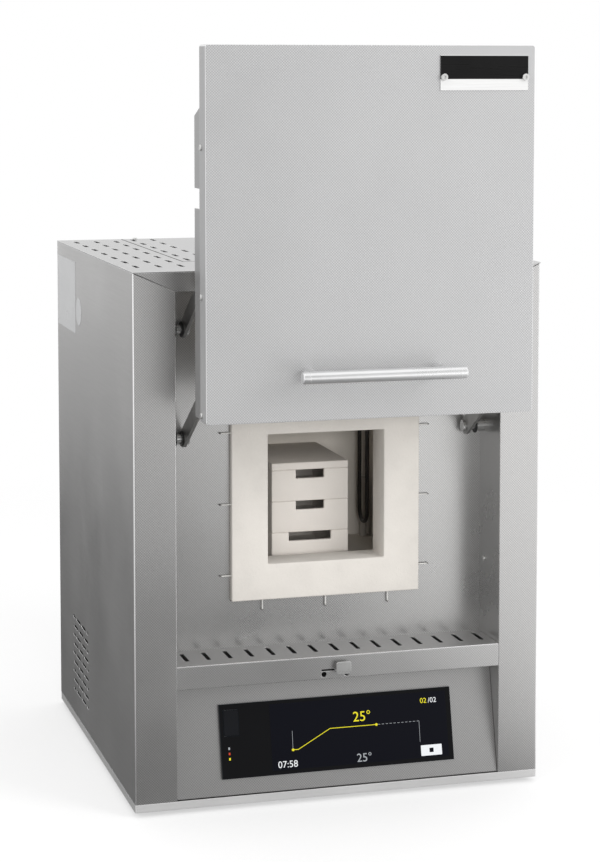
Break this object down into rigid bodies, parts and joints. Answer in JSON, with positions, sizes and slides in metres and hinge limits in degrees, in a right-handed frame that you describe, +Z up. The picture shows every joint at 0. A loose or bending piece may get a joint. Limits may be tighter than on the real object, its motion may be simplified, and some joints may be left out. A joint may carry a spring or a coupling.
{
  "type": "high-temperature furnace",
  "caption": "Bench-top high-temperature furnace with a lift-up door on parallel arms, a fibre-lined chamber and a sloping touch panel.",
  "frame": {"origin": "on the bench, under the middle of the whole object with its door raised", "axes": "+X to the right seen from the front, +Y to the back, +Z up"},
  "size_m": [0.3853, 0.5205, 0.6904],
  "materials": {
    "case_steel": "patterned stainless sheet",
    "side_steel": "smooth satin stainless sheet",
    "roof_steel": "smooth satin stainless sheet",
    "door_steel": "patterned stainless sheet",
    "linkage_steel": "plain steel bar",
    "bolt_steel": "bright turned steel",
    "handle_metal": "satin anodised",
    "badge_metal": "plain plate",
    "fibre": "dry pressed fibre board",
    "saggar_ceramic": "fired unglazed ceramic",
    "element_dark": "dark oxide skin",
    "panel_glass": "glossy black front glass",
    "black_plastic": "fine moulded texture",
    "foot_rubber": "moulded rubber",
    "label_film": "plain printed film",
    "coil_pack": "varnished laminations",
    "heat_sink": "black anodised fins"
  },
  "bodies": {
    "cabinet": {"base_tray": "side_steel", "feet": "foot_rubber", "left_side_panel": "side_steel", "right_side_panel": "side_steel", "recess_walls": "case_steel", "lintel": "case_steel", "recess_back": "case_steel", "roof_frame": "roof_steel", "roof_center_panel": "roof_steel", "rear_panel": "side_steel", "panel_screws": "bolt_steel", "recess_screws": "bolt_steel", "side_labels": "label_film", "shelf": "case_steel", "control_fascia": "case_steel", "control_glass": "panel_glass", "controller_housing": "black_plastic", "pivot_studs": "bolt_steel", "pivot_rings": "linkage_steel", "fibre_collar": "fibre", "collar_staples": "linkage_steel", "front_board": "fibre", "floor_board": "fibre", "roof_board": "fibre", "side_boards": "fibre", "rear_board": "fibre", "inner_casing": "side_steel", "heating_elements": "element_dark", "element_clamps": "bolt_steel", "air_inlet_tube": "saggar_ceramic", "saggar_lower": "saggar_ceramic", "saggar_middle": "saggar_ceramic", "saggar_upper": "saggar_ceramic", "saggar_lid": "saggar_ceramic", "thermocouple": "saggar_ceramic", "casing_supports": "side_steel", "transformer": "coil_pack", "power_regulator": "heat_sink", "fan_frame": "black_plastic", "power_inlet": "black_plastic", "switch_frame": "black_plastic"},
    "arm_lower_left": {"lift_arm_lower_left": "linkage_steel"},
    "arm_lower_right": {"lift_arm_lower_right": "linkage_steel"},
    "arm_upper_left": {"lift_arm_upper_left": "linkage_steel"},
    "arm_upper_right": {"lift_arm_upper_right": "linkage_steel"},
    "door": {"door_pan": "door_steel", "door_brackets": "door_steel", "bracket_screws": "bolt_steel", "door_pins": "bolt_steel", "door_cassette": "side_steel", "door_filling": "fibre", "door_plug": "fibre", "handle_bar": "handle_metal", "handle_posts": "handle_metal", "badge_plate": "badge_metal", "badge_screws": "bolt_steel"},
    "port_flap": {"port_cover": "black_plastic"},
    "vent_slider": {"air_slider": "side_steel"},
    "rotor": {"fan_rotor": "black_plastic"},
    "rocker": {"switch_rocker": "black_plastic"}
  },
  "joints": [
    {"name": "door_lift", "type": "hinge", "parent": "cabinet", "child": "arm_lower_left", "pos_m": [0, -0.08375, 0.335], "axis": [1, 0, 0], "range_deg": [0, 109.14]},
    {"name": "arm_lower_right_turn", "type": "hinge", "parent": "cabinet", "child": "arm_lower_right", "pos_m": [0, -0.08375, 0.335], "axis": [1, 0, 0], "range_deg": [0, 109.14]},
    {"name": "arm_upper_left_turn", "type": "hinge", "parent": "cabinet", "child": "arm_upper_left", "pos_m": [0, -0.08375, 0.435], "axis": [1, 0, 0], "range_deg": [0, 109.14]},
    {"name": "arm_upper_right_turn", "type": "hinge", "parent": "cabinet", "child": "arm_upper_right", "pos_m": [0, -0.08375, 0.435], "axis": [1, 0, 0], "range_deg": [0, 109.14]},
    {"name": "door_level", "type": "hinge", "parent": "arm_lower_left", "child": "door", "pos_m": [0, -0.20975, 0.41472], "axis": [1, 0, 0], "range_deg": [-109.14, 0]},
    {"name": "port_cover_swing", "type": "hinge", "parent": "cabinet", "child": "port_flap", "pos_m": [-0.1075, -0.11475, 0.07666], "axis": [0, -0.2196, -0.9756], "range_deg": [0, 95]},
    {"name": "air_slide", "type": "slide", "parent": "cabinet", "child": "vent_slider", "axis": [-1, 0, 0], "range_m": [0, 0.012]},
    {"name": "fan_spin", "type": "hinge", "parent": "cabinet", "child": "rotor", "pos_m": [0, 0.23605, 0.255], "axis": [0, 1, 0], "continuous": true},
    {"name": "switch_rock", "type": "hinge", "parent": "cabinet", "child": "rocker", "pos_m": [0.06, 0.25525, 0.065], "axis": [1, 0, 0], "range_deg": [-16, 0]}
  ],
  "couplings": [
    {"joint": "arm_lower_right_turn", "follows": "door_lift", "ratio": 1},
    {"joint": "arm_upper_left_turn", "follows": "door_lift", "ratio": 1},
    {"joint": "arm_upper_right_turn", "follows": "door_lift", "ratio": 1},
    {"joint": "door_level", "follows": "door_lift", "ratio": -1}
  ]
}
